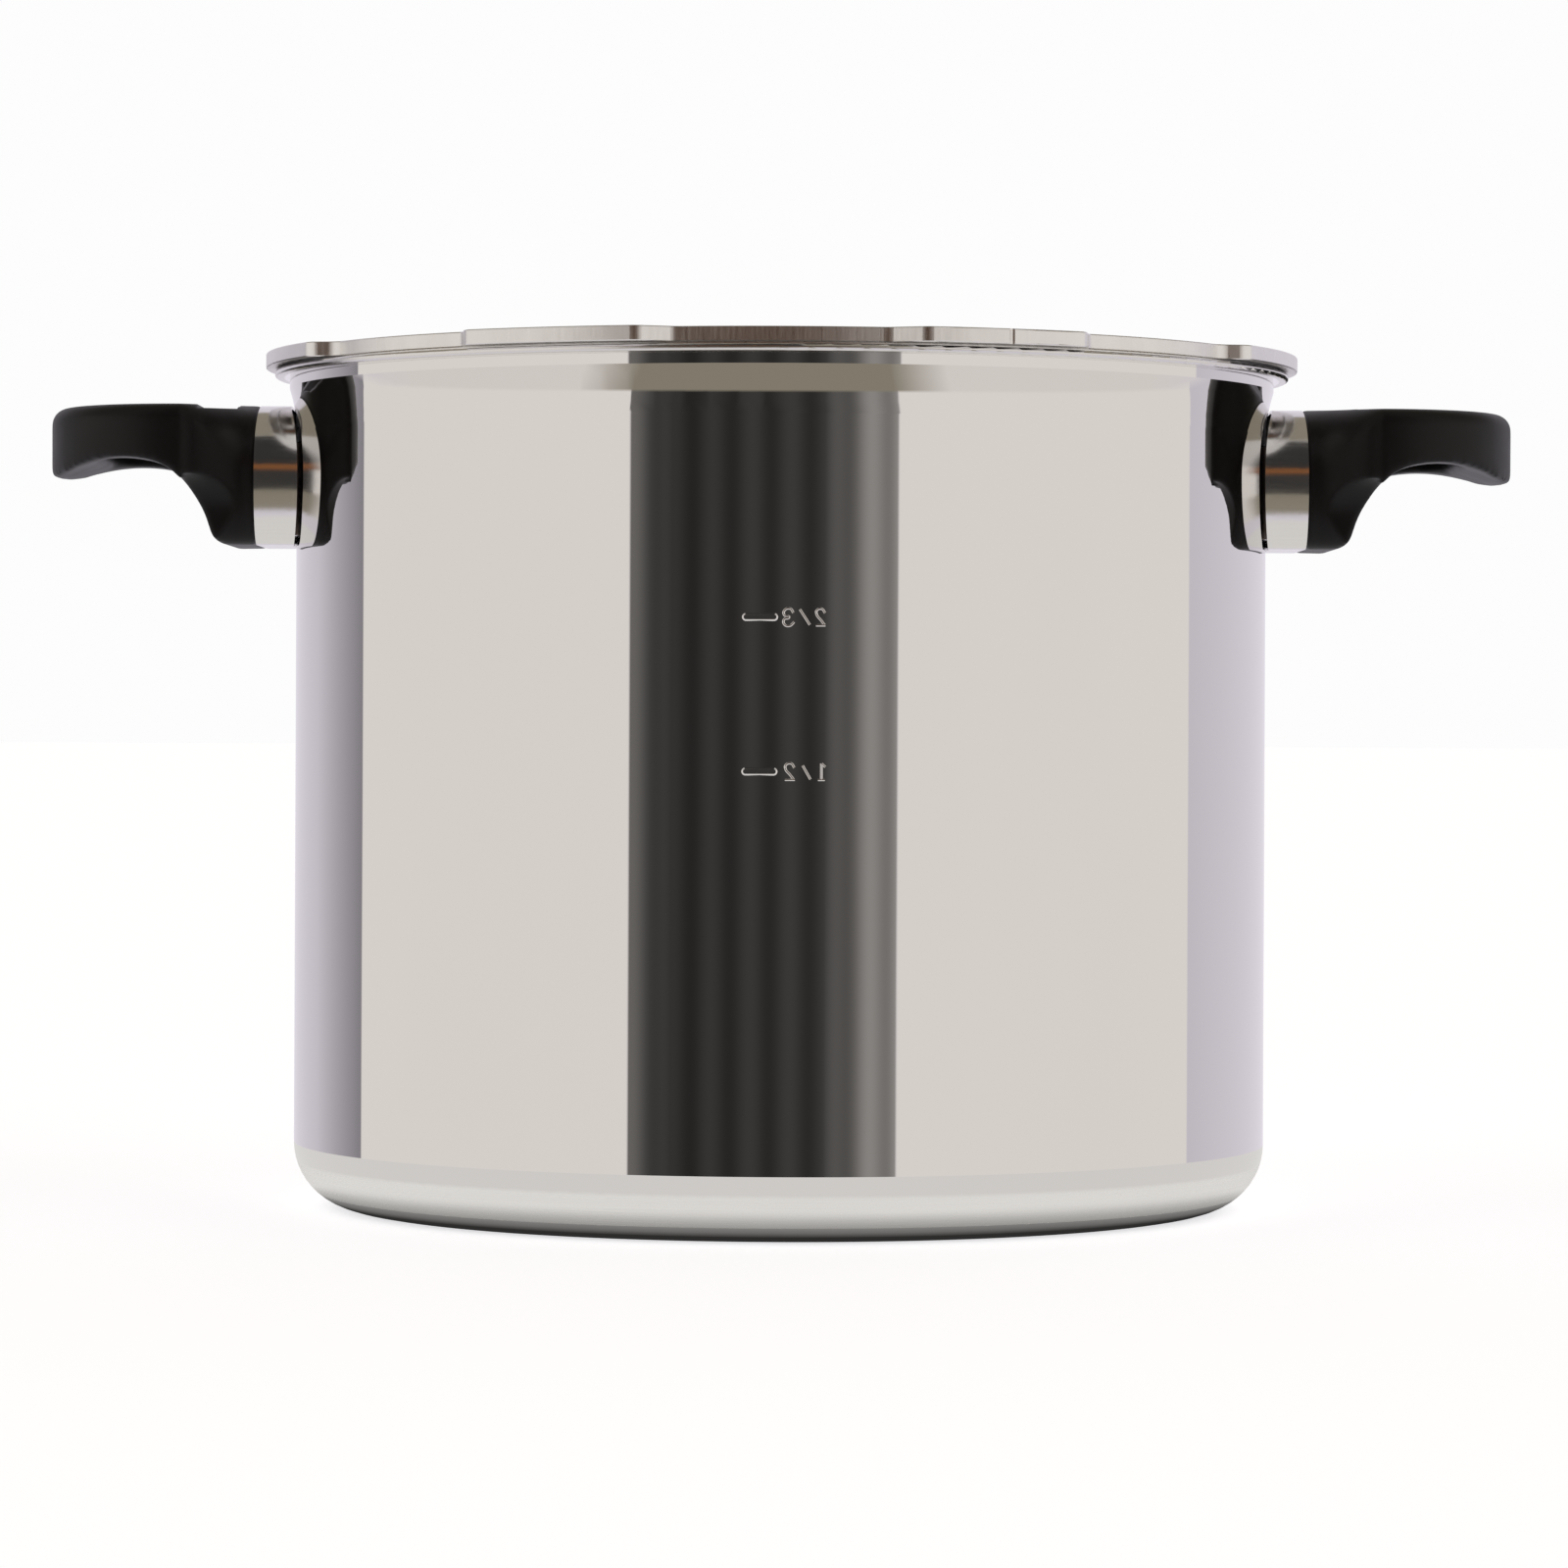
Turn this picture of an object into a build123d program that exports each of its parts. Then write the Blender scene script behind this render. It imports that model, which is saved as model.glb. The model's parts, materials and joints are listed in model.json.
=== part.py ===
from build123d import *
from math import cos, radians, sin, sqrt
import os

# Pot of a stovetop pressure cooker, 24 cm across inside: a drawn steel body with a bayonet flange,
# a sandwich base, and two loop grips that are screwed to welded brackets through steel flame guards.
# Millimetres, +Z up, the origin at the centre of the flat base. The grips lie along X and -Y is the
# front. Flange angles are in degrees, counted from the front towards +X.

# ---------------------------------------------------------------- driving dimensions
POT_R = 121.0              # outside of the wall
WALL_T = 1.0
POT_H = 211.8              # to the top of the bayonet ring
CORNER_R = 16.3            # outside corner between wall and base

BASE_CAP_T = 0.6           # steel cap under the base
BASE_SEAM_Z = 4.0          # upper edge of the cap, and top of the aluminium core
FIT_GAP = 0.05             # clearance where curved faces meet

INNER_CORNER_R = 13.8      # inside, between wall and floor

NECK_Z = 192.0             # where the wall starts to curve outwards
NECK_ARC_R = 36.0
NECK_TOP_Z = 203.3
RIM_R = 126.5              # rim of the body, turned outwards under the ring
RIM_LOW_Z = 206.0
RIM_TOP_Z = 207.6
RIM_LIP_R = 0.75
RIM_EDGE_R = 0.6

RING_T = 3.6
RING_LUG_R = 128.7
RING_RECESS_R = 123.1
RING_BORE_R = 119.6
RING_CORNER_R = 4.2        # rounded corners of the castellation
RING_EDGE_R = 0.35
RING_BORE_EDGE_R = 1.0
RING_FOOT_R = 122.4        # foot of the ring that stands on the rim
RECESS_CENTRES = (0.0, 46.9, 132.2, 180.0, 227.8, 311.4)
RECESS_HALF = 11.5         # half angle of a recess floor
STEP_WIDE = 3.6            # angle taken by a step of the front and back recesses
STEP_NARROW = 1.9          # and of the four others
DETENT_ANGLE = 24.4        # small groove in one front lug
DETENT_R = 0.9
DETENT_DEPTH = 0.36

GUARD_END_X = 130.0        # outer end of the flame guard
GUARD_T = 0.8
GUARD_GAP = 0.8            # gap to the wall of the pot
GUARD_HALF_W = 25.0
GUARD_BOTTOM_Z = 164.2
GUARD_TOP_Z = 199.4
CROWN_W = 24.5             # quarter ellipses of the arched top
CROWN_H = 17.4
FOOT_W = 9.6               # quarter ellipses of the lower corners
FOOT_H = 17.4

GRIP_START_X = GUARD_END_X + 0.3
GRIP_END_X = 182.4
GRIP_TOP_Z = 198.3
GRIP_HALF_W = 37.0
NECK_END_X = 148.0         # where the grip's neck has widened into the loop
NECK_STEPS = 6
# Curve of the underside, from the root to past the outer end: X and Z.
UNDERSIDE = (
    (136.8, GUARD_BOTTOM_Z),
    (141.3, 169.6),
    (144.8, 176.7),
    (149.0, 181.8),
    (158.5, 185.0),
    (168.0, 184.6),
    (175.0, 182.6),
    (186.4, 181.0),
)
ROOT_SLOPE = 0.05          # slope of that curve where it starts
FLANK_HALF_W = 25.5        # the root below the loop
FLANK_TOP_Z = 181.1
FLANK_ROUND_R = 10.0
LOOP_LOW_Z = 174.2         # lower end of the loop before its underside is cut
LOOP_RIM_R = 4.0
FINGER_X = (149.0, 168.8)
FINGER_HALF_W = 24.5
FINGER_CORNER_R = 9.0

STEM_START_X = 124.2       # inner end of the grip's stem, inside the guard
STEM_CLEAR = 0.25
NOTCH_X = (135.2, 143.6)   # lock notch in the top of the left grip
NOTCH_DEPTH = 1.8
NOTCH_SLOPE = 0.8

SCREW_Z = 172.0
SCREW_R = 2.5
SCREW_HEAD_R = 4.6
SCREW_HEAD_T = 3.6
SCREW_HEAD_ROUND = 1.6
CROSS_HALF_L = 2.4         # cross recess
CROSS_HALF_W = 0.5
CROSS_DEPTH = 2.2
SCREW_POINT = 0.5
SCREW_END_X = 122.2
SCREW_CLEAR = 0.3
WASHER_R = 5.0
WASHER_T = 1.0
LOCK_WASHER_R = 4.6
LOCK_WASHER_T = 1.2
SPLIT_HALF_W = 0.4
SPLIT_TURN = 25.0
SEAT_X = 134.4             # floor of the counterbore
COUNTERBORE_R = 5.5

BRACKET_FACE_X = 128.4
BRACKET_T = 1.8
BRACKET_HALF_W = 12.5
BRACKET_Z = (166.6, 189.4)
BRACKET_FOOT_HALF_W = 18.5
NUT_T = 3.9
NUT_AF = 8.0
POCKET_CLEAR = 0.6

OVERLAP = 1.0              # so that joined or cut shapes never share a face
FAR = 400.0                # longer than anything in the model


# ---------------------------------------------------------------- helpers
def polar(radius, angle, z=0.0):
    """A point at an angle counted from the front towards +X."""
    return (radius * sin(radians(angle)), -radius * cos(radians(angle)), z)


def turned(edges):
    """The solid turned about Z from a closed outline in the XZ plane."""
    return revolve(make_face(edges), Axis.Z)


def rod_x(x0, x1, radius, z):
    """A round bar along X, between two places."""
    rod = Cylinder(radius, x1 - x0, align=(Align.CENTER, Align.CENTER, Align.MIN))
    return Pos(x0, 0, z) * Rot(0, 90, 0) * rod


def block(x, y, z):
    """A box from its low and high X, Y and Z."""
    size = (x[1] - x[0], y[1] - y[0], z[1] - z[0])
    return Pos(x[0], y[0], z[0]) * Box(*size, align=(Align.MIN, Align.MIN, Align.MIN))


def disc(radius, z0, z1):
    """A round slab about Z, between two heights."""
    return Pos(0, 0, z0) * Cylinder(radius, z1 - z0, align=(Align.CENTER, Align.CENTER, Align.MIN))


# ---------------------------------------------------------------- pot
def corner_radius_at(z, radius):
    """Distance from the axis of the rounded corner, at a height, for an arc about its centre."""
    return POT_R - CORNER_R + sqrt(radius**2 - (CORNER_R - z) ** 2)


def castellated_face(lug_r, recess_r, z):
    """The flange outline: six recesses, with sloped steps between recess and lug."""
    edges = []
    count = len(RECESS_CENTRES)
    for i, centre in enumerate(RECESS_CENTRES):
        step = STEP_WIDE if i % 3 == 0 else STEP_NARROW
        following = RECESS_CENTRES[(i + 1) % count] + (360 if i == count - 1 else 0)
        next_step = STEP_WIDE if (i + 1) % 3 == 0 else STEP_NARROW
        floor = [polar(recess_r, centre + k * RECESS_HALF, z) for k in (-1, 0, 1)]
        lug_angles = (centre + RECESS_HALF + step, following - RECESS_HALF - next_step)
        lug = [polar(lug_r, a, z) for a in (lug_angles[0], sum(lug_angles) / 2, lug_angles[1])]
        edges.append(ThreePointArc(*floor))
        edges.append(Line(floor[2], lug[0]))
        edges.append(ThreePointArc(*lug))
        edges.append(Line(lug[2], polar(recess_r, following - RECESS_HALF, z)))
    outline = make_face(edges)
    return fillet(outline.vertices(), RING_CORNER_R)


def neck_radius_at(z, gap=0.0):
    """Outside of the curved neck at a height, with a gap around it."""
    return POT_R + NECK_ARC_R - sqrt((NECK_ARC_R - gap) ** 2 - (z - NECK_Z) ** 2)


def neck_arc(gap=0.0):
    """The curve of the neck in the XZ plane, tangent to the wall at its lower end."""
    heights = (NECK_Z, (NECK_Z + NECK_TOP_Z) / 2, NECK_TOP_Z)
    return ThreePointArc(*[(neck_radius_at(z, gap), 0, z) for z in heights])


def make_pot_body():
    """Drawn body: floor, wall, curved neck and the rim under the ring."""
    rim = (corner_radius_at(BASE_SEAM_Z, CORNER_R), 0, BASE_SEAM_Z)
    middle_z = CORNER_R / 2
    neck_r = neck_radius_at(NECK_TOP_Z)
    outer = turned([
        Line((0, 0, BASE_SEAM_Z), rim),
        ThreePointArc(rim, (corner_radius_at(middle_z, CORNER_R), 0, middle_z), (POT_R, 0, CORNER_R)),
        Line((POT_R, 0, CORNER_R), (POT_R, 0, NECK_Z)),
        neck_arc(),
        Line((neck_r, 0, NECK_TOP_Z), (neck_r, 0, RIM_TOP_Z)),
        Line((neck_r, 0, RIM_TOP_Z), (0, 0, RIM_TOP_Z)),
        Line((0, 0, RIM_TOP_Z), (0, 0, BASE_SEAM_Z)),
    ])
    rim_plate = disc(RIM_R, RIM_LOW_Z, RIM_TOP_Z)
    rim_plate = fillet(rim_plate.edges().sort_by(Axis.Z)[0], RIM_LIP_R)
    rim_plate = fillet(rim_plate.edges().sort_by(Axis.Z)[-1], RIM_EDGE_R)
    floor_z = BASE_SEAM_Z + WALL_T
    hollow = disc(POT_R - WALL_T, floor_z, POT_H)
    hollow = fillet(hollow.edges().sort_by(Axis.Z)[0], INNER_CORNER_R)
    return outer + rim_plate - hollow


def make_bayonet_ring():
    """Thick castellated ring that the lid turns under, standing on the rim."""
    under_z = POT_H - RING_T
    ring = extrude(castellated_face(RING_LUG_R, RING_RECESS_R, under_z), RING_T)
    level_edges = [e for e in ring.edges() if e.bounding_box().size.Z < RING_T / 2]
    ring = fillet(level_edges, RING_EDGE_R)
    groove_r = RING_LUG_R + DETENT_R - DETENT_DEPTH
    groove = Pos(*polar(groove_r, DETENT_ANGLE, under_z)) * Cylinder(DETENT_R, 4 * RING_T)
    foot = disc(RING_FOOT_R, RIM_TOP_Z, under_z + RING_T / 2)
    ring = ring - groove + foot - disc(RING_BORE_R, RIM_TOP_Z - OVERLAP, POT_H + OVERLAP)
    mouth = ring.faces().sort_by(Axis.Z)[-1].edges()
    bore_edges = [e for e in mouth if abs(e.bounding_box().size.X - 2 * RING_BORE_R) < RING_EDGE_R]
    return fillet(bore_edges, RING_BORE_EDGE_R)


def make_base_core():
    """Aluminium heat-spreading disc between the floor and the cap."""
    radius = CORNER_R - BASE_CAP_T - FIT_GAP
    centre_r = POT_R - CORNER_R
    low = CORNER_R - radius
    rim = (corner_radius_at(BASE_SEAM_Z, radius), 0, BASE_SEAM_Z)
    middle_z = (low + BASE_SEAM_Z) / 3
    return turned([
        Line((0, 0, low), (centre_r, 0, low)),
        ThreePointArc((centre_r, 0, low), (corner_radius_at(middle_z, radius), 0, middle_z), rim),
        Line(rim, (0, 0, BASE_SEAM_Z)),
        Line((0, 0, BASE_SEAM_Z), (0, 0, low)),
    ])


def make_base_cap():
    """Pressed steel cap: the flat underside and the lower part of the round corner."""
    centre_r = POT_R - CORNER_R
    inside = CORNER_R - BASE_CAP_T
    middle_z = BASE_SEAM_Z / 3
    outer_rim = (corner_radius_at(BASE_SEAM_Z, CORNER_R), 0, BASE_SEAM_Z)
    inner_rim = (corner_radius_at(BASE_SEAM_Z, inside), 0, BASE_SEAM_Z)
    return turned([
        Line((0, 0, 0), (centre_r, 0, 0)),
        ThreePointArc((centre_r, 0, 0), (corner_radius_at(middle_z, CORNER_R), 0, middle_z), outer_rim),
        Line(outer_rim, inner_rim),
        ThreePointArc(
            inner_rim,
            (corner_radius_at(middle_z + BASE_CAP_T, inside), 0, middle_z + BASE_CAP_T),
            (centre_r, 0, BASE_CAP_T),
        ),
        Line((centre_r, 0, BASE_CAP_T), (0, 0, BASE_CAP_T)),
        Line((0, 0, BASE_CAP_T), (0, 0, 0)),
    ])


# ---------------------------------------------------------------- one handle, on the +X side
def arch_face(x, half_w, top_z, crown_w, crown_h, inset=0.0):
    """An arched section across the handle: an elliptical top, and lower corners drawn in to a flat bottom."""
    half_w = half_w - inset
    top_z = top_z - inset
    bottom_z = GUARD_BOTTOM_Z + inset
    crown_w = crown_w - inset
    crown_h = crown_h - inset
    foot_w = FOOT_W - inset
    foot_h = FOOT_H - inset
    crown_z = top_z - crown_h
    foot_z = bottom_z + foot_h
    crown_y = half_w - crown_w
    foot_y = half_w - foot_w
    section = Plane(origin=(x, 0, 0), x_dir=(0, 1, 0), z_dir=(1, 0, 0))
    edges = [
        Line((-foot_y, bottom_z), (foot_y, bottom_z)),
        EllipticalCenterArc((foot_y, foot_z), foot_w, foot_h, start_angle=270, arc_size=90),
        Line((half_w, foot_z), (half_w, crown_z)),
        EllipticalCenterArc((crown_y, crown_z), crown_w, crown_h, start_angle=0, arc_size=90),
        Line((crown_y, top_z), (-crown_y, top_z)),
        EllipticalCenterArc((-crown_y, crown_z), crown_w, crown_h, start_angle=90, arc_size=90),
        Line((-half_w, crown_z), (-half_w, foot_z)),
        EllipticalCenterArc((-foot_y, foot_z), foot_w, foot_h, start_angle=180, arc_size=90),
    ]
    return section * make_face(edges)


def guard_face(x, inset=0.0):
    return arch_face(x, GUARD_HALF_W, GUARD_TOP_Z, CROWN_W, CROWN_H, inset)


def make_guard():
    """Polished sleeve between the wall and the grip, cut to the curve of the wall and the neck."""
    start_x = POT_R / 2
    length = GUARD_END_X - start_x
    sleeve = extrude(guard_face(start_x), length) - extrude(guard_face(start_x, GUARD_T), length)
    wall_and_neck = turned([
        Line((0, 0, 0), (POT_R + GUARD_GAP, 0, 0)),
        Line((POT_R + GUARD_GAP, 0, 0), (POT_R + GUARD_GAP, 0, NECK_Z)),
        neck_arc(GUARD_GAP),
        Line((neck_radius_at(NECK_TOP_Z, GUARD_GAP), 0, NECK_TOP_Z), (0, 0, NECK_TOP_Z)),
        Line((0, 0, NECK_TOP_Z), (0, 0, 0)),
    ])
    return sleeve - wall_and_neck


def grip_neck():
    """The arched root, widening smoothly into the loop."""
    start = (GRIP_START_X, GUARD_HALF_W, GUARD_TOP_Z, CROWN_W, CROWN_H)
    end = (NECK_END_X, GRIP_HALF_W, GRIP_TOP_Z, LOOP_RIM_R, LOOP_RIM_R)
    sections = []
    for i in range(NECK_STEPS + 1):
        t = i / NECK_STEPS
        eased = t * t * (3 - 2 * t)
        shape = [a + (b - a) * eased for a, b in zip(start[1:], end[1:])]
        sections.append(arch_face(start[0] + (end[0] - start[0]) * t, *shape))
    return loft(sections)


def loop_outline(start_x):
    """The loop seen from above: half an ellipse with a short straight start."""
    return make_face([
        Line((start_x, -GRIP_HALF_W), (NECK_END_X, -GRIP_HALF_W)),
        EllipticalCenterArc(
            (NECK_END_X, 0), GRIP_END_X - NECK_END_X, GRIP_HALF_W, start_angle=-90, arc_size=180
        ),
        Line((NECK_END_X, GRIP_HALF_W), (start_x, GRIP_HALF_W)),
        Line((start_x, GRIP_HALF_W), (start_x, -GRIP_HALF_W)),
    ])


def across(face):
    """Extrudes a face in the XZ plane to both sides, wider than the grip."""
    return extrude(face, amount=2 * GRIP_HALF_W, dir=(0, 1, 0), both=True)


def grip_underside():
    """What is cut away below the loop: the S-shaped root, the finger arch and the outer lip."""
    points = [(x, 0, z) for x, z in UNDERSIDE]
    root_x = UNDERSIDE[0][0]
    end_x = UNDERSIDE[-1][0]
    low = 0
    return across(make_face([
        Spline(*points, tangents=[(1, 0, ROOT_SLOPE), (1, 0, 0)]),
        Line(points[-1], (end_x, 0, low)),
        Line((end_x, 0, low), (root_x, 0, low)),
        Line((root_x, 0, low), points[0]),
    ]))


def grip_flank():
    """What is cut away beside the root, below the loop."""
    low = GUARD_BOTTOM_Z - OVERLAP
    reach = 2 * GRIP_HALF_W
    bend = FLANK_ROUND_R * (1 - sqrt(0.5))
    flank = Plane(origin=(GRIP_START_X, 0, 0), x_dir=(0, 1, 0), z_dir=(1, 0, 0)) * make_face([
        Line((FLANK_HALF_W, low), (FLANK_HALF_W, FLANK_TOP_Z - FLANK_ROUND_R)),
        ThreePointArc(
            (FLANK_HALF_W, FLANK_TOP_Z - FLANK_ROUND_R),
            (FLANK_HALF_W + bend, FLANK_TOP_Z - bend),
            (FLANK_HALF_W + FLANK_ROUND_R, FLANK_TOP_Z),
        ),
        Line((FLANK_HALF_W + FLANK_ROUND_R, FLANK_TOP_Z), (reach, FLANK_TOP_Z)),
        Line((reach, FLANK_TOP_Z), (reach, low)),
        Line((reach, low), (FLANK_HALF_W, low)),
    ])
    right = extrude(flank, NECK_END_X + 2 * OVERLAP - GRIP_START_X)
    return right + mirror(right, Plane.XZ)


def make_grip():
    """Black phenolic grip: stem in the guard, arched root, and a loop to hold."""
    start_x = NECK_END_X - OVERLAP
    loop = Pos(0, 0, LOOP_LOW_Z) * extrude(loop_outline(start_x), GRIP_TOP_Z - LOOP_LOW_Z)
    rim = loop.faces().sort_by(Axis.Z)[-1].edges().sort_by(Axis.X)
    loop = fillet(rim[1:], LOOP_RIM_R)
    grip = grip_neck() - grip_flank()
    grip = grip + loop - grip_underside()
    opening = RectangleRounded(FINGER_X[1] - FINGER_X[0], 2 * FINGER_HALF_W, FINGER_CORNER_R)
    grip -= Pos(sum(FINGER_X) / 2, 0, LOOP_LOW_Z) * extrude(opening, FAR)
    stem_length = GRIP_START_X + OVERLAP - STEM_START_X
    grip += extrude(guard_face(STEM_START_X, GUARD_T + STEM_CLEAR), stem_length)
    grip -= block(
        (STEM_START_X - OVERLAP, BRACKET_FACE_X + POCKET_CLEAR),
        (-BRACKET_HALF_W - POCKET_CLEAR, BRACKET_HALF_W + POCKET_CLEAR),
        (BRACKET_Z[0] - POCKET_CLEAR, BRACKET_Z[1] + POCKET_CLEAR),
    )
    grip -= rod_x(STEM_START_X, SEAT_X + OVERLAP, SCREW_R + SCREW_CLEAR, SCREW_Z)
    grip -= rod_x(SEAT_X, NECK_END_X, COUNTERBORE_R, SCREW_Z)
    return grip


def lock_notch():
    """Shallow notch across the top of the left grip, for the lid's lock, on the +X side."""
    floor_z = GUARD_TOP_Z - NOTCH_DEPTH
    above_z = GUARD_TOP_Z + OVERLAP
    corners = (
        (NOTCH_X[0] - NOTCH_SLOPE, 0, above_z),
        (NOTCH_X[0] + NOTCH_SLOPE, 0, floor_z),
        (NOTCH_X[1], 0, floor_z),
        (NOTCH_X[1], 0, above_z),
    )
    return across(make_face([Line(corners[i - 1], corners[i]) for i in range(len(corners))]))


def make_bracket():
    """Steel hat bracket, welded to the wall by its two curved feet."""
    z_low, z_high = BRACKET_Z
    sides = (-BRACKET_HALF_W, BRACKET_HALF_W)
    inside_x = POT_R / 2
    hat = block((inside_x, BRACKET_FACE_X), sides, BRACKET_Z)
    hollow = (sides[0] + BRACKET_T, sides[1] - BRACKET_T)
    hat -= block((0, BRACKET_FACE_X - BRACKET_T), hollow, (0, FAR))
    foot_sides = (-BRACKET_FOOT_HALF_W, BRACKET_FOOT_HALF_W)
    feet = disc(POT_R + BRACKET_T, 0, FAR) & block((inside_x, FAR), foot_sides, BRACKET_Z)
    feet -= block((0, FAR), hollow, (0, FAR))
    bracket = hat + feet - disc(POT_R, 0, FAR)
    return bracket - rod_x(POT_R, BRACKET_FACE_X + OVERLAP, SCREW_R + SCREW_CLEAR, SCREW_Z)


def make_nut():
    """Weld nut behind the bracket's face."""
    back_x = BRACKET_FACE_X - BRACKET_T - NUT_T
    section = Plane(origin=(back_x, 0, SCREW_Z), x_dir=(0, 1, 0), z_dir=(1, 0, 0))
    nut = extrude(section * RegularPolygon(NUT_AF / 2, 6, major_radius=False), NUT_T)
    return nut - rod_x(back_x - OVERLAP, BRACKET_FACE_X, SCREW_R, SCREW_Z)


def make_screw():
    """Pan-head screw with a cross recess, run in from the outside, below the loop."""
    head_x = SEAT_X + WASHER_T + LOCK_WASHER_T
    head = rod_x(head_x, head_x + SCREW_HEAD_T, SCREW_HEAD_R, SCREW_Z)
    head = fillet(head.edges().sort_by(Axis.X)[-1], SCREW_HEAD_ROUND)
    depth = (head_x + SCREW_HEAD_T - CROSS_DEPTH, FAR)
    long_side = (-CROSS_HALF_L, CROSS_HALF_L)
    short_side = (-CROSS_HALF_W, CROSS_HALF_W)
    cross = block(depth, long_side, short_side) + block(depth, short_side, long_side)
    shank = rod_x(SCREW_END_X, head_x + OVERLAP, SCREW_R, SCREW_Z)
    shank = chamfer(shank.edges().sort_by(Axis.X)[0], SCREW_POINT)
    return head + shank - Pos(0, 0, SCREW_Z) * cross


def make_washer():
    washer = rod_x(SEAT_X, SEAT_X + WASHER_T, WASHER_R, SCREW_Z)
    return washer - rod_x(0, FAR, SCREW_R + SCREW_CLEAR, SCREW_Z)


def make_lock_washer():
    """Split spring washer."""
    start = SEAT_X + WASHER_T
    washer = rod_x(start, start + LOCK_WASHER_T, LOCK_WASHER_R, SCREW_Z)
    washer -= rod_x(0, FAR, SCREW_R + SCREW_CLEAR / 2, SCREW_Z)
    sides = (-SPLIT_HALF_W, SPLIT_HALF_W)
    split = Rot(SPLIT_TURN, 0, 0) * block((-LOCK_WASHER_R, LOCK_WASHER_R), sides, (0, 2 * LOCK_WASHER_R))
    return washer - Pos(start, 0, SCREW_Z) * split


# ---------------------------------------------------------------- assembly
def save(node, shape):
    export_step(shape, f"parts/{node}.step")


os.makedirs("parts", exist_ok=True)
save("pot_body", make_pot_body())
save("bayonet_ring", make_bayonet_ring())
save("base_core", make_base_core())
save("base_cap", make_base_cap())

HANDLE = {
    "flame_guard": make_guard(),
    "grip": make_grip(),
    "wall_bracket": make_bracket(),
    "bracket_nut": make_nut(),
    "handle_screw": make_screw(),
    "washer": make_washer(),
    "lock_washer": make_lock_washer(),
}
for piece, shape in HANDLE.items():
    save(f"right_{piece}", shape)
    if piece == "grip":
        shape = shape - lock_notch()
    save(f"left_{piece}", mirror(shape, Plane.YZ))
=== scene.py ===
"""Looks of the pressure cooker pot: studio, camera, procedural materials and fine surface pieces."""
import json
import math

import bmesh
import bpy
from mathutils import Matrix, Vector

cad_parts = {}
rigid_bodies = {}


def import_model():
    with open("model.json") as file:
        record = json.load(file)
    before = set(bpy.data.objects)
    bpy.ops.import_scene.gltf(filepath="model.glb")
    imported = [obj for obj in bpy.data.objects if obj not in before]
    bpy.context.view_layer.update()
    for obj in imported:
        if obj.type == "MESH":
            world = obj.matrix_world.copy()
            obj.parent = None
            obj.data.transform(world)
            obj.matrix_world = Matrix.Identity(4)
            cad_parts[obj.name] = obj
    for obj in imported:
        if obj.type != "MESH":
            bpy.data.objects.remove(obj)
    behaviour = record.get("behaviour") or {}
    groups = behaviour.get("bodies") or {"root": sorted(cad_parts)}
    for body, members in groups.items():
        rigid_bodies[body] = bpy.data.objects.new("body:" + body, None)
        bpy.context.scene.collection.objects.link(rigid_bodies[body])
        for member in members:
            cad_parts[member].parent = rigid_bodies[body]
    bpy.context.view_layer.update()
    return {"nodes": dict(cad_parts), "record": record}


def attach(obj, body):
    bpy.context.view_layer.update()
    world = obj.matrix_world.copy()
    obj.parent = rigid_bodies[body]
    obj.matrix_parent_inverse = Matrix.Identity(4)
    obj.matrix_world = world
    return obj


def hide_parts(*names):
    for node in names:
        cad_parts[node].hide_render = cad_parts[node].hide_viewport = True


for leftover in list(bpy.data.objects):
    bpy.data.objects.remove(leftover)
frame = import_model()
NODES = frame["nodes"]

# ---------------------------------------------------------------- driving sizes, in metres
WALL_R = 0.121                  # outside of the wall
WALL_T = 0.001
NECK_FLARE = (0.0026, 0.0034)   # how far out the neck is where its polish fades into the ground rim

# ---------------------------------------------------------------- camera
SENSOR = 36.0
LENS = 133.04
CAMERA_DISTANCE = 12.0 * WALL_R
CAMERA_HEIGHT = 0.1207
CAMERA_ROLL = math.radians(0.25)
SHIFT_X = 0.0024
SHIFT_Y = -0.039

# ---------------------------------------------------------------- floor
FLOOR_R = 30.0
FLOOR_PAINT = 0.9
FLOOR_GLOW = 0.70
FLOOR_TINT = (1.0, 1.0, 1.02)
FLOOR_SEGMENTS = 96
TABLE_R = 2.1 * WALL_R          # the part of the floor that the steel mirrors
TABLE_GLOW = 0.74
TABLE_PAINTED_SHADOW = (WALL_R - 0.011, WALL_R + 0.001)    # painted contact shadow: the table's glow fades in from under the pot
TABLE_TINT = (1.0, 0.985, 0.96)
TABLE_DROP = 0.0001
# Glow that stays in the painted contact shadow under the pot.
PAINTED_SHADOW_GLOW = 0.03

# ---------------------------------------------------------------- level marks
DASH_U = (-0.0089, -0.0006)     # ends of the dash, along the wall
DASH_HALF_H = 0.00092
DASH_SLOPE = 0.00036            # width of its sloped edge
DASH_HEIGHT = 0.00021
DASH_STEPS = 32
SUNK = 0.00002                  # how deep the dash starts in the wall
STROKE_R = 0.00031
STROKE_SUNK = 0.00004
STROKE_BEVEL = 3
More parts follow.
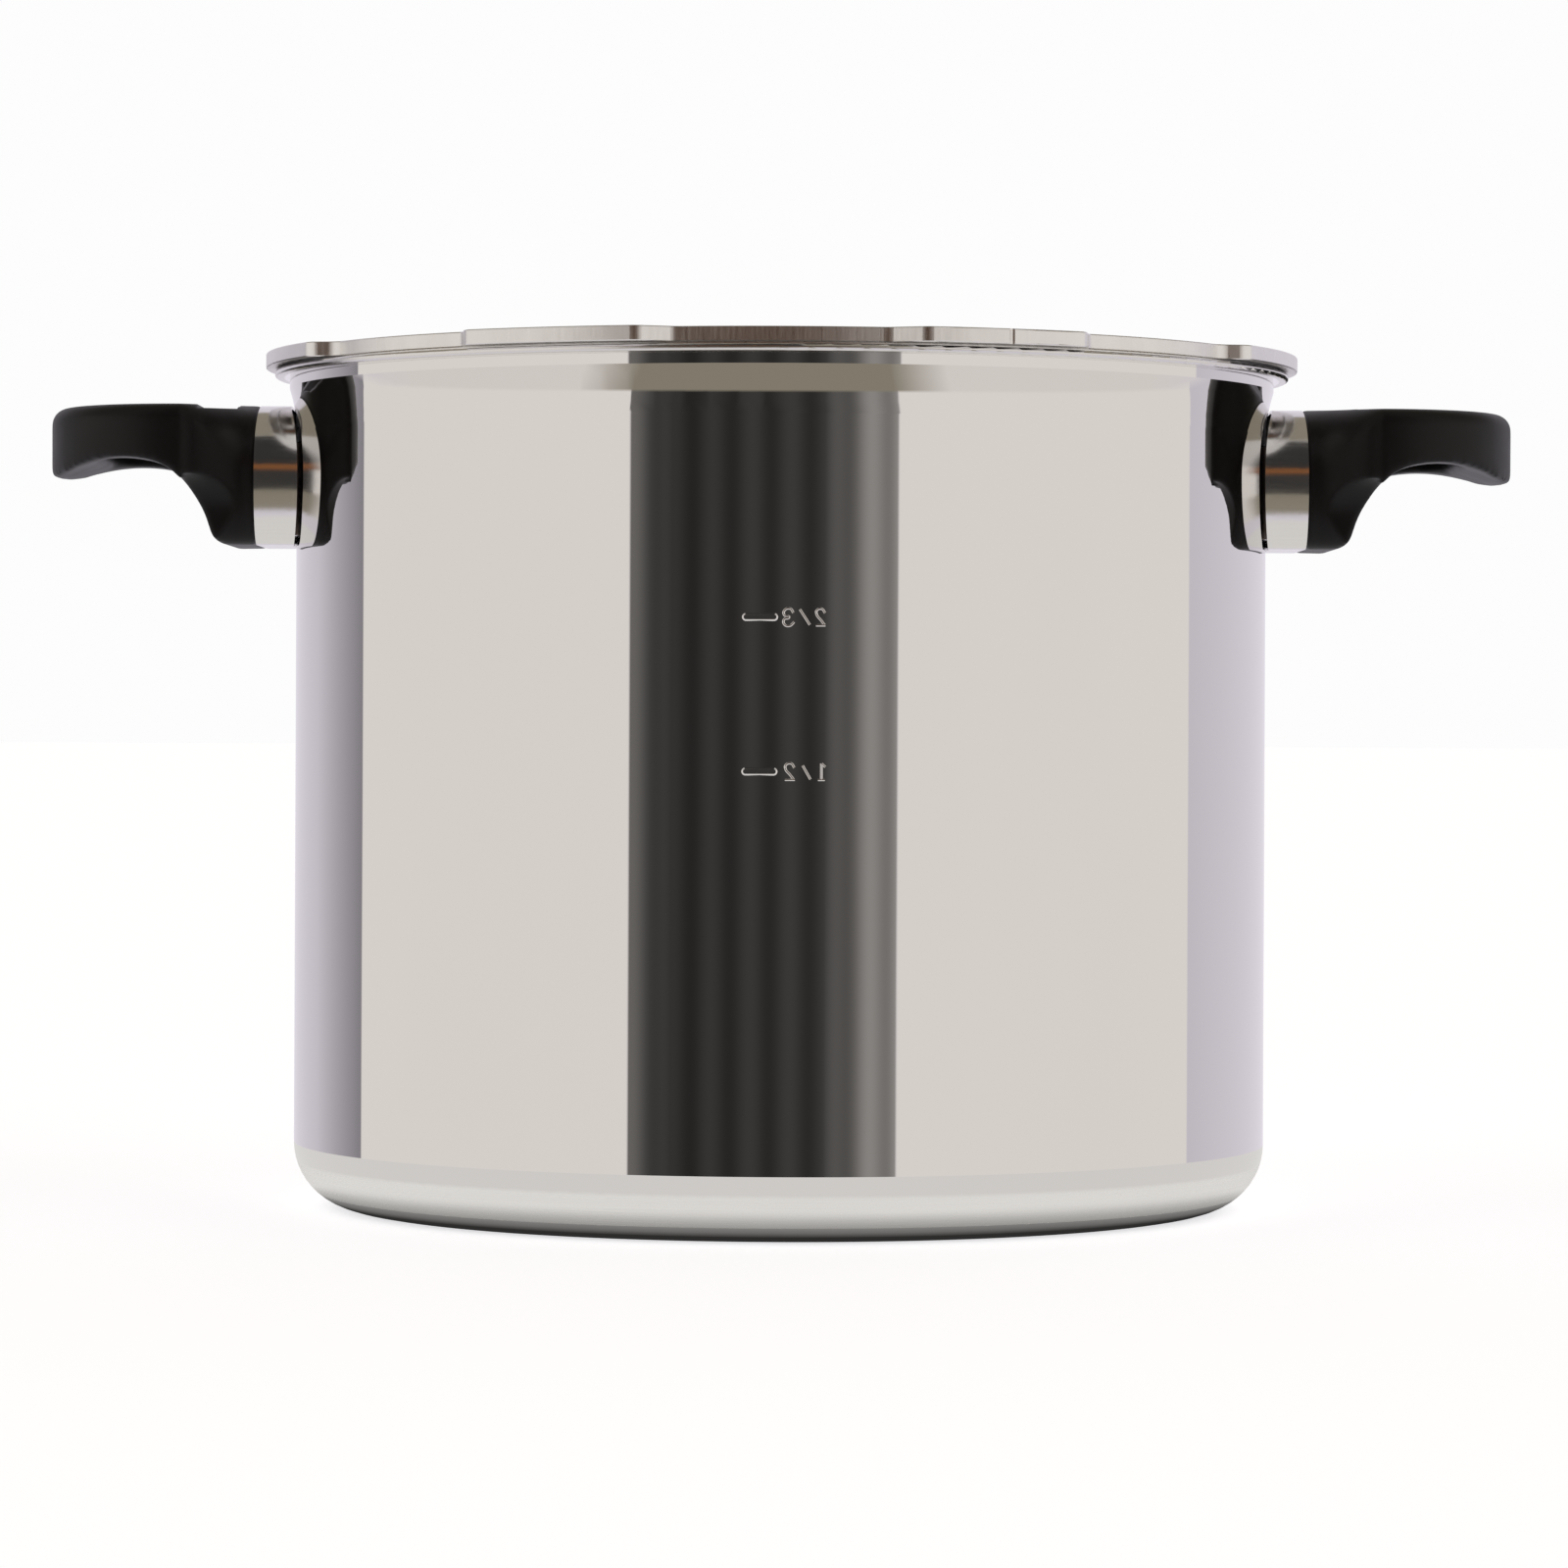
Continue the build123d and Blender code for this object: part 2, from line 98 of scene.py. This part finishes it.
# Height of the centre, then strokes of distance to the right and height, in millimetres.
LEVEL_MARKS = {
    "two_thirds": (0.1450, (
        (
            (2.9, 1.0), (2.2, 1.95), (0.9, 1.6), (0.8, 0.5), (1.9, 0.0),
            (0.8, -0.5), (0.8, -1.6), (2.0, -2.0), (3.1, -1.1),
        ),
        ((4.4, 1.8), (6.7, -1.75)),
        ((10.2, 1.0), (9.4, 1.95), (8.3, 1.6), (8.3, 0.6), (9.2, -0.6), (10.1, -1.75)),
        ((10.3, -1.85), (8.1, -1.85)),
    )),
    "one_half": (0.1095, (
        ((3.3, 0.9), (2.5, 1.9), (1.3, 1.5), (1.3, 0.5), (2.2, -0.6), (3.1, -1.75)),
        ((3.4, -1.85), (1.1, -1.85)),
        ((5.2, 1.4), (7.0, -1.75)),
        ((9.5, 1.9), (9.5, -1.8)),
        ((9.6, 1.85), (10.4, 1.1)),
        ((8.7, -1.85), (10.3, -1.85)),
    )),
}

# ---------------------------------------------------------------- moulded grips
GRIP_VOXEL = 0.0006
GRIP_ROUNDING = 8
# Lock notch of the left grip: its floor rises towards the pot.
NOTCH_X = (0.1350, 0.1436)
NOTCH_FLOOR_Z = 0.1973
NOTCH_RISE = 0.09
# Lower outer lip of the loop, rounded more than the other edges.
LIP_START_X = 0.164
LIP_TOP_Z = 0.192
LIP_BLEND = 0.006
LIP_ROUNDING = 40

# ---------------------------------------------------------------- studio
# A plain studio: a softbox on each side of the camera, a dark curtain between them and a pale backdrop
# behind the pot. Directions are in degrees from the camera, positive to the right. Levels are display
# brightnesses from 0 to 1, as polished steel shows them.
STEEL_REFLECTANCE = 0.81
WARM = (1.0, 0.98, 0.96)
COOL = (0.98, 0.96, 1.0)
OLIVE = (1.0, 0.95, 0.85)
LAMP = (1.0, 0.65, 0.4)
EDGE = 0.5                      # softness of an edge, in degrees
LEFT_SOFTBOX = (-115, -35)
RIGHT_SOFTBOX = (27, 111)
SOFTBOX_LEVEL = 0.83
# The curtain catches some light of the softboxes at its ends, and hangs in even folds.
CURTAIN = ((-35, 0.35), (-25, 0.17), (10, 0.2), (20, 0.45), (27, 0.55))
FOLD_SPACING = 9
FOLD_DEPTH = 0.3
# The backdrop is brightest in the middle and falls off towards the softboxes.
BACKDROP = ((-180, 0.85), (-140, 0.75), (-115, 0.5), (111, 0.75), (180, 0.85))
# Higher and lower the studio is plainer. Each pair is the height above the horizon, in degrees, where a
# change starts and where it ends.
LEVEL_TOP = (6, 9)
ROOM_TOP = (18, 24)
LEVEL_BOTTOM = (-11.5, -13.5)
STEEP_BELOW = (-31, -37)
LAMP_HEIGHT = (8, 20)           # a warm lamp in front of the curtain
GREY_CEILING = (84, 140)        # over the top, from the front horizon to the back
SKY_EDGE = 4
CURTAIN_MARGIN = 6              # above and below, the dark part is this much wider, with soft sides
CURTAIN_SIDE = 14
FRONT_HALF = (-112, 112)
FRONT_SIDE = 30
DARK_LEVEL = 0.18
LAMP_LEVEL = 0.45
CEILING_LEVEL = 0.5
ABOVE_FRONT_LEVEL = 0.7
BRIGHT_LEVEL = 0.8              # backdrop and floor, above and below
BACKDROP_WHITE = (0.98, 0.98, 0.98)     # what the camera sees behind the pot


def polar(radius, angle, z):
    """A point at an angle counted from the front towards +X."""
    return Vector((radius * math.sin(angle), -radius * math.cos(angle), z))


def new_object(name, data):
    """An object in the scene, around a mesh, a curve or a camera."""
    thing = bpy.data.objects.new(name, data)
    bpy.context.scene.collection.objects.link(thing)
    return thing


# ---------------------------------------------------------------- node helpers
class Graph:
    """A small helper that adds nodes to a material or world and links them."""

    def __init__(self, tree):
        self.tree = tree
        tree.nodes.clear()

    def add(self, kind, **settings):
        node = self.tree.nodes.new(kind)
        for key, value in settings.items():
            setattr(node, key, value)
        return node

    def link(self, source, target):
        self.tree.links.new(source, target)

    def math(self, operation, a, b=None, c=None):
        node = self.add("ShaderNodeMath", operation=operation)
        for socket, value in zip(node.inputs, (a, b, c)):
            if value is None:
                continue
            if isinstance(value, (int, float)):
                socket.default_value = value
            else:
                self.link(value, socket)
        return node.outputs[0]

    def ramp(self, factor, stops, interpolation="LINEAR"):
        node = self.add("ShaderNodeValToRGB")
        node.color_ramp.interpolation = interpolation
        elements = node.color_ramp.elements
        while len(elements) > 1:
            elements.remove(elements[-1])
        elements[0].position = stops[0][0]
        elements[0].color = (*stops[0][1], 1)
        for place, colour in stops[1:]:
            elements.new(place).color = (*colour, 1)
        self.link(factor, node.inputs[0])
        return node.outputs[0]

    def mix(self, factor, a, b):
        node = self.add("ShaderNodeMix", data_type="RGBA")
        for socket, value in ((node.inputs[0], factor), (node.inputs[6], a), (node.inputs[7], b)):
            if isinstance(value, (int, float)):
                socket.default_value = value
            elif isinstance(value, tuple):
                socket.default_value = (*value, 1)
            else:
                self.link(value, socket)
        return node.outputs[2]

    def noise(self, vector, scale, detail=2.0, roughness=0.5):
        node = self.add("ShaderNodeTexNoise")
        node.inputs["Scale"].default_value = scale
        node.inputs["Detail"].default_value = detail
        node.inputs["Roughness"].default_value = roughness
        self.link(vector, node.inputs["Vector"])
        return node.outputs["Fac"]

    def span(self, value, low, high, to_low=0.0, to_high=1.0):
        node = self.add("ShaderNodeMapRange")
        node.inputs["From Min"].default_value = low
        node.inputs["From Max"].default_value = high
        node.inputs["To Min"].default_value = to_low
        node.inputs["To Max"].default_value = to_high
        self.link(value, node.inputs["Value"])
        return node.outputs["Result"]


# ---------------------------------------------------------------- stage
def light(level, tint):
    """Light that polished steel shows at this display brightness, with a tint."""
    return tuple(((level * part + 0.055) / 1.055) ** 2.4 / STEEL_REFLECTANCE for part in tint)


def window(g, value, low, high, feather=EDGE):
    """1 between two places and 0 outside them."""
    rise = g.span(value, low - feather / 2, low + feather / 2)
    fall = g.span(value, high + feather / 2, high - feather / 2)
    return g.math("MULTIPLY", rise, fall)


def level_ramp(g, azimuth, stops, tint):
    """Levels that change evenly from one direction to the next."""
    low, high = stops[0][0], stops[-1][0]
    colours = [((place - low) / (high - low), light(level, tint)) for place, level in stops]
    return g.ramp(g.span(azimuth, low, high), colours)


def curtain_colours(g, azimuth):
    """The dark curtain, with the light and shade of its folds."""
    folds = g.math("SINE", g.math("MULTIPLY", azimuth, math.tau / FOLD_SPACING))
    shade = g.math("MULTIPLY_ADD", folds, FOLD_DEPTH, 1.0)
    folded = g.add("ShaderNodeVectorMath", operation="SCALE")
    g.link(level_ramp(g, azimuth, CURTAIN, WARM), folded.inputs[0])
    g.link(shade, folded.inputs["Scale"])
    return folded.outputs[0]


def horizon_colours(g, azimuth):
    """What stands round the pot: backdrop, curtain and the two softboxes."""
    in_curtain = window(g, azimuth, CURTAIN[0][0], CURTAIN[-1][0])
    colours = g.mix(in_curtain, level_ramp(g, azimuth, BACKDROP, COOL), curtain_colours(g, azimuth))
    for sides in (LEFT_SOFTBOX, RIGHT_SOFTBOX):
        colours = g.mix(window(g, azimuth, *sides), colours, light(SOFTBOX_LEVEL, WARM))
    return colours


def studio_colours(g):
    """The whole studio: the ring round the horizon, and plainer parts above and below it."""
    direction = g.add("ShaderNodeTexCoord").outputs["Generated"]
    split = g.add("ShaderNodeSeparateXYZ")
    g.link(direction, split.inputs[0])
    x, y, z = split.outputs
    forward = g.math("MULTIPLY", y, -1.0)
    azimuth = g.math("MULTIPLY", g.math("ARCTAN2", x, forward), math.degrees(1))
    rise = g.math("MULTIPLY", g.math("ARCSINE", z), math.degrees(1))
    over = g.math("MULTIPLY", g.math("ARCTAN2", z, forward), math.degrees(1))

    horizon = horizon_colours(g, azimuth)
    dark_sides = (CURTAIN[0][0] - CURTAIN_MARGIN, CURTAIN[-1][0] + CURTAIN_MARGIN)
    in_dark = window(g, azimuth, *dark_sides, CURTAIN_SIDE)
    in_front = window(g, azimuth, *FRONT_HALF, FRONT_SIDE)

    in_lamp = window(g, rise, *LAMP_HEIGHT, SKY_EDGE)
    dark = g.mix(in_lamp, light(DARK_LEVEL, WARM), light(LAMP_LEVEL, LAMP))
    above = g.mix(in_dark, light(ABOVE_FRONT_LEVEL, WARM), dark)
    above = g.mix(in_front, light(BRIGHT_LEVEL, COOL), above)
    in_ceiling = window(g, over, *GREY_CEILING, SKY_EDGE)
    above = g.mix(in_ceiling, above, light(CEILING_LEVEL, OLIVE))

    below = g.mix(in_dark, light(BRIGHT_LEVEL, WARM), light(CEILING_LEVEL, OLIVE))
    below = g.mix(in_front, light(BRIGHT_LEVEL, COOL), below)
    below = g.mix(g.span(rise, *STEEP_BELOW), below, light(BRIGHT_LEVEL, COOL))

    upper = g.mix(g.span(rise, *ROOM_TOP), g.mix(in_dark, horizon, dark), above)
    sky = g.mix(g.span(rise, *LEVEL_TOP), horizon, upper)
    return g.mix(g.span(rise, *LEVEL_BOTTOM), sky, below)


def make_world():
    """Soft studio that lights the pot, and a plain white backdrop for the camera."""
    world = bpy.data.worlds.new("studio")
    bpy.context.scene.world = world
    world.use_nodes = True
    g = Graph(world.node_tree)
    lit = g.add("ShaderNodeBackground")
    g.link(studio_colours(g), lit.inputs["Color"])
    backdrop = g.add("ShaderNodeBackground")
    backdrop.inputs["Color"].default_value = (*BACKDROP_WHITE, 1)
    choice = g.add("ShaderNodeMixShader")
    g.link(g.add("ShaderNodeLightPath").outputs["Is Camera Ray"], choice.inputs[0])
    g.link(lit.outputs[0], choice.inputs[1])
    g.link(backdrop.outputs[0], choice.inputs[2])
    g.link(choice.outputs[0], g.add("ShaderNodeOutputWorld").inputs[0])


def floor_paint(name, paint, glow, tint, painted_shadow_span=None):
    """Matt paint that glows, so that it looks evenly lit. The glow can fade in from under the pot as a
    painted contact shadow.
    """
    material = bpy.data.materials.new(name)
    material.use_nodes = True
    g = Graph(material.node_tree)
    shader = g.add("ShaderNodeBsdfPrincipled")
    g.link(shader.outputs[0], g.add("ShaderNodeOutputMaterial").inputs[0])
    shader.inputs["Base Color"].default_value = (paint, paint, paint, 1)
    shader.inputs["Roughness"].default_value = 0.9
    shader.inputs["Specular IOR Level"].default_value = 0.0
    shader.inputs["Emission Color"].default_value = (*tint, 1)
    shader.inputs["Emission Strength"].default_value = glow
    if painted_shadow_span:
        # Painted contact shadow: the glow fades in with distance from the pot's axis.
        distance = g.add("ShaderNodeVectorMath", operation="LENGTH")
        g.link(g.add("ShaderNodeTexCoord").outputs["Object"], distance.inputs[0])
        painted_shadow_fade = g.span(distance.outputs["Value"], *painted_shadow_span, PAINTED_SHADOW_GLOW, glow)
        g.link(painted_shadow_fade, shader.inputs["Emission Strength"])
    return material


def disc(name, radius, material):
    mesh = bpy.data.meshes.new(name)
    bm = bmesh.new()
    bmesh.ops.create_circle(bm, cap_ends=True, segments=FLOOR_SEGMENTS, radius=radius)
    bm.to_mesh(mesh)
    bm.free()
    mesh.materials.append(material)
    return new_object(name, mesh)


def make_stage():
    """A wide pale floor for the eye, and the small table top that the polished steel mirrors."""
    floor = disc("floor", FLOOR_R, floor_paint("floor_paint", FLOOR_PAINT, FLOOR_GLOW, FLOOR_TINT))
    floor.visible_glossy = False
    floor.visible_diffuse = False
    # The table's glow fades to a painted contact shadow under the pot.
    table_paint = floor_paint("table_paint", 0.0, TABLE_GLOW, TABLE_TINT, TABLE_PAINTED_SHADOW)
    table = disc("table", TABLE_R, table_paint)
    table.location.z = -TABLE_DROP
    table.visible_camera = False
    table.visible_shadow = False
    table.visible_diffuse = False


def make_camera():
    data = bpy.data.cameras.new("camera")
    data.sensor_width = SENSOR
    data.lens = LENS
    data.shift_x = SHIFT_X
    data.shift_y = SHIFT_Y
    camera = new_object("camera", data)
    place = Matrix.Translation((0, -CAMERA_DISTANCE, CAMERA_HEIGHT))
    upright = Matrix.Rotation(math.pi / 2, 4, "X")
    camera.matrix_world = place @ upright @ Matrix.Rotation(CAMERA_ROLL, 4, "Z")
    bpy.context.scene.camera = camera


# ---------------------------------------------------------------- materials
def start_material(name):
    material = bpy.data.materials.new(name)
    material.use_nodes = True
    g = Graph(material.node_tree)
    shader = g.add("ShaderNodeBsdfPrincipled")
    g.link(shader.outputs[0], g.add("ShaderNodeOutputMaterial").inputs[0])
    place = g.add("ShaderNodeTexCoord").outputs["Object"]
    return material, g, shader, place


def stretched(g, place, scale):
    node = g.add("ShaderNodeMapping")
    node.inputs["Scale"].default_value = scale
    g.link(place, node.inputs["Vector"])
    return node.outputs[0]


def around_axis(g, place):
    """Coordinates that run round the pot: along the wall, distance from the axis and height, in metres."""
    split = g.add("ShaderNodeSeparateXYZ")
    g.link(place, split.inputs[0])
    x, y, z = split.outputs
    along = g.math("MULTIPLY", g.math("ARCTAN2", x, g.math("MULTIPLY", y, -1.0)), WALL_R)
    radius = g.math("SQRT", g.math("ADD", g.math("MULTIPLY", x, x), g.math("MULTIPLY", y, y)))
    join = g.add("ShaderNodeCombineXYZ")
    for value, socket in zip((along, radius, z), join.inputs):
        g.link(value, socket)
    return join.outputs[0], radius, z


def bump(g, shader, height, strength, distance):
    node = g.add("ShaderNodeBump")
    node.inputs["Strength"].default_value = strength
    node.inputs["Distance"].default_value = distance
    g.link(height, node.inputs["Height"])
    g.link(node.outputs[0], shader.inputs["Normal"])


def polished_steel():
    """Mirror-polished outside, satin spun inside, with faint draw lines down the wall and a ground rim."""
    material, g, shader, place = start_material("polished_steel_look")
    round_place, radius, _ = around_axis(g, place)
    shader.inputs["Metallic"].default_value = 1.0
    inside = g.span(radius, WALL_R - 0.6 * WALL_T, WALL_R - 0.9 * WALL_T)
    smudge = g.noise(stretched(g, round_place, (14, 14, 3)), 1.0, 3.0)
    tone = g.mix(smudge, (0.80, 0.785, 0.775), (0.84, 0.825, 0.815))
    g.link(g.mix(inside, tone, (0.95, 0.94, 0.925)), shader.inputs["Base Color"])
    spun = g.noise(stretched(g, round_place, (20, 1500, 2200)), 1.0, 2.0)
    drawn = g.noise(stretched(g, round_place, (900, 30, 6)), 1.0, 2.0)
    rim = g.span(radius, WALL_R + NECK_FLARE[0], WALL_R + NECK_FLARE[1], 0.0, 0.2)
    polish = g.math("ADD", g.span(smudge, 0.3, 0.7, 0.012, 0.03), rim)
    satin = g.span(spun, 0.3, 0.7, 0.22, 0.34)
    blend = g.add("ShaderNodeMix", data_type="FLOAT")
    g.link(inside, blend.inputs[0])
    g.link(polish, blend.inputs[2])
    g.link(satin, blend.inputs[3])
    g.link(blend.outputs[0], shader.inputs["Roughness"])
    swell = g.noise(stretched(g, round_place, (60, 20, 9)), 1.0, 1.0)
    height = g.math("ADD", g.math("MULTIPLY", swell, 0.5), g.math("MULTIPLY", drawn, 0.004))
    height = g.math("ADD", height, g.math("MULTIPLY", g.math("MULTIPLY", spun, inside), 0.05))
    bump(g, shader, height, 1.0, 0.00002)
    return material


def ring_steel():
    """Sheared and brushed edge: fine upright striations all round, turned lines on top."""
    material, g, shader, place = start_material("ring_steel_look")
    round_place, _, _ = around_axis(g, place)
    shader.inputs["Metallic"].default_value = 1.0
    strokes = g.noise(stretched(g, round_place, (1500, 900, 90)), 1.0, 3.0, 0.6)
    broad = g.noise(stretched(g, round_place, (160, 40, 60)), 1.0, 2.0)
    tone = g.mix(strokes, (0.83, 0.815, 0.80), (0.94, 0.93, 0.915))
    tone = g.mix(g.span(broad, 0.35, 0.65, 0.0, 0.3), tone, (0.76, 0.74, 0.72))
    g.link(tone, shader.inputs["Base Color"])
    g.link(g.span(strokes, 0.3, 0.7, 0.26, 0.38), shader.inputs["Roughness"])
    bump(g, shader, strokes, 0.35, 0.00003)
    return material


def guard_steel():
    """Polished sleeve, with very fine lines along the handle."""
    material, g, shader, place = start_material("guard_steel_look")
    shader.inputs["Metallic"].default_value = 1.0
    lines = g.noise(stretched(g, place, (40, 1400, 1400)), 1.0, 2.0)
    tone = g.mix(lines, (0.80, 0.785, 0.77), (0.86, 0.845, 0.83))
    g.link(tone, shader.inputs["Base Color"])
    g.link(g.span(lines, 0.3, 0.7, 0.12, 0.18), shader.inputs["Roughness"])
    bump(g, shader, lines, 0.3, 0.000006)
    return material


def base_steel():
    """Cap under the base: polished at the corner, spun rings on the flat."""
    material, g, shader, place = start_material("base_steel_look")
    round_place, _, z = around_axis(g, place)
    shader.inputs["Metallic"].default_value = 1.0
    rings = g.noise(stretched(g, round_place, (6, 1300, 4)), 1.0, 3.0, 0.6)
    flat = g.span(z, 0.0008, 0.0002)
    tone = g.mix(rings, (0.74, 0.73, 0.715), (0.86, 0.85, 0.84))
    g.link(g.mix(flat, (0.82, 0.805, 0.795), tone), shader.inputs["Base Color"])
    roughness = g.math("ADD", g.math("MULTIPLY", flat, 0.2), g.span(rings, 0.3, 0.7, 0.06, 0.12))
    g.link(roughness, shader.inputs["Roughness"])
    bump(g, shader, g.math("MULTIPLY", rings, flat), 0.6, 0.00004)
    return material


def plain_metal(name, light, dark, low, high):
    """Plain metal with a fine grain, between two tones and two roughnesses."""
    material, g, shader, place = start_material(f"{name}_look")
    shader.inputs["Metallic"].default_value = 1.0
    grain = g.noise(place, 900, 3.0)
    g.link(g.mix(grain, dark, light), shader.inputs["Base Color"])
    g.link(g.span(grain, 0.3, 0.7, low, high), shader.inputs["Roughness"])
    bump(g, shader, grain, 0.3, 0.00003)
    return material


def black_phenolic():
    """Moulded black phenolic: satin, with a very fine grain and slightly worn tone."""
    material, g, shader, place = start_material("black_phenolic_look")
    grain = g.noise(place, 2600, 2.0)
    cloud = g.noise(place, 60, 3.0)
    tone = g.mix(cloud, (0.0085, 0.0082, 0.0084), (0.0115, 0.0110, 0.0114))
    g.link(tone, shader.inputs["Base Color"])
    shader.inputs["Specular IOR Level"].default_value = 0.22
    g.link(g.span(cloud, 0.3, 0.7, 0.40, 0.50), shader.inputs["Roughness"])
    bump(g, shader, grain, 0.25, 0.00004)
    return material


def dress_nodes():
    """Every CAD node gets the look of its material slot."""
    plain = {
        "core_aluminium": ((0.86, 0.86, 0.87), (0.74, 0.74, 0.75), 0.30, 0.42),
        "bracket_steel": ((0.66, 0.65, 0.64), (0.50, 0.49, 0.48), 0.28, 0.42),
        "fastener_steel": ((0.72, 0.71, 0.70), (0.58, 0.57, 0.56), 0.22, 0.34),
    }
    looks = {
        "polished_steel": polished_steel(),
        "ring_steel": ring_steel(),
        "base_steel": base_steel(),
        "guard_steel": guard_steel(),
        "black_phenolic": black_phenolic(),
    }
    for name, values in plain.items():
        looks[name] = plain_metal(name, *values)
    for part in frame["record"]["subparts"]:
        mesh = NODES[part["node"]].data
        mesh.materials.clear()
        mesh.materials.append(looks[part["material_slot"]])
    return looks


# ---------------------------------------------------------------- fine pieces
def on_wall(u, z, proud):
    """A place on the front of the wall: how far to the right along it, how high and how far proud."""
    return polar(WALL_R + proud, u / WALL_R, z)


def dash_mark(name, centre_z):
    """Raised dash of a level mark: a flat top with sloped edges."""
    mesh = bpy.data.meshes.new(name)
    bm = bmesh.new()
    rings = []
    for inset, proud in ((0.0, -SUNK), (DASH_SLOPE, DASH_HEIGHT)):
        half_h = DASH_HALF_H - inset
        ends = (DASH_U[0] + inset + half_h, DASH_U[1] - inset - half_h)
        ring = []
        for i in range(DASH_STEPS):
            turn = 2 * math.pi * (i + 0.5) / DASH_STEPS
            end = ends[1] if math.cos(turn) > 0 else ends[0]
            u = end + half_h * math.cos(turn)
            ring.append(bm.verts.new(on_wall(u, centre_z + half_h * math.sin(turn), proud)))
        rings.append(ring)
    for i in range(DASH_STEPS):
        j = (i + 1) % DASH_STEPS
        bm.faces.new((rings[0][i], rings[0][j], rings[1][j], rings[1][i]))
    bm.faces.new(rings[1])
    bmesh.ops.recalc_face_normals(bm, faces=bm.faces)
    bm.to_mesh(mesh)
    bm.free()
    return new_object(name, mesh)


def stroke_mark(name, strokes, centre_z):
    """Raised figures of a level mark, as rounded ridges half sunk into the wall."""
    curve = bpy.data.curves.new(name, "CURVE")
    curve.dimensions = "3D"
    curve.bevel_depth = STROKE_R
    curve.bevel_resolution = STROKE_BEVEL
    curve.use_fill_caps = True
    for points in strokes:
        spline = curve.splines.new("BEZIER")
        spline.bezier_points.add(len(points) - 1)
        for knot, (u, v) in zip(spline.bezier_points, points):
            knot.co = on_wall(u / 1000, centre_z + v / 1000, -STROKE_SUNK)
            knot.handle_left_type = "AUTO"
            knot.handle_right_type = "AUTO"
    return new_object(name, curve)


def make_level_marks():
    """The two level marks embossed from inside, so their figures read reversed from the front."""
    for name, (centre_z, strokes) in LEVEL_MARKS.items():
        dash = dash_mark(f"{name}_dash", centre_z)
        figures = stroke_mark(f"{name}_figures", strokes, centre_z)
        for piece in (dash, figures):
            piece.data.materials.append(LOOKS["polished_steel"])
            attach(piece, "root")


def press_notch(mesh):
    """Presses the lock notch into the rounded left grip, down to the floor of the notch."""
    for vertex in mesh.vertices:
        if NOTCH_X[0] < -vertex.co.x < NOTCH_X[1]:
            floor_z = NOTCH_FLOOR_Z + NOTCH_RISE * (NOTCH_X[1] + vertex.co.x)
            vertex.co.z = min(vertex.co.z, floor_z)


def round_lip(grip):
    """Rounds the lower outer lip of the loop more than the other edges."""
    group = grip.vertex_groups.new(name="outer_lip")
    for vertex in grip.data.vertices:
        depth = (LIP_TOP_Z - vertex.co.z) / LIP_BLEND
        reach = (abs(vertex.co.x) - LIP_START_X) / LIP_BLEND
        weight = min(depth, reach, 1.0)
        if weight > 0:
            group.add([vertex.index], weight, "REPLACE")
    smooth = grip.modifiers.new("rounded_lip", "SMOOTH")
    smooth.vertex_group = group.name
    smooth.iterations = LIP_ROUNDING


def soften_grip(side):
    """The grip with its edges rounded as moulded phenolic has them, and a crisp notch in the left one."""
    mesh = NODES["right_grip"].data.copy()
    if side == "left":
        mesh.transform(Matrix.Scale(-1, 4, (1, 0, 0)))
        mesh.flip_normals()
    grip = new_object(f"{side}_moulded_grip", mesh)
    remesh = grip.modifiers.new("even_mesh", "REMESH")
    remesh.mode = "VOXEL"
    remesh.voxel_size = GRIP_VOXEL
    remesh.use_smooth_shade = True
    smooth = grip.modifiers.new("rounded_edges", "SMOOTH")
    smooth.iterations = GRIP_ROUNDING
    shaped = grip.evaluated_get(bpy.context.evaluated_depsgraph_get())
    grip.data = bpy.data.meshes.new_from_object(shaped)
    grip.modifiers.clear()
    if side == "left":
        press_notch(grip.data)
    round_lip(grip)
    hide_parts(f"{side}_grip")
    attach(grip, "root")


make_world()
make_stage()
make_camera()
LOOKS = dress_nodes()
make_level_marks()
for side in ("left", "right"):
    soften_grip(side)

bpy.context.scene.view_settings.view_transform = "Standard"
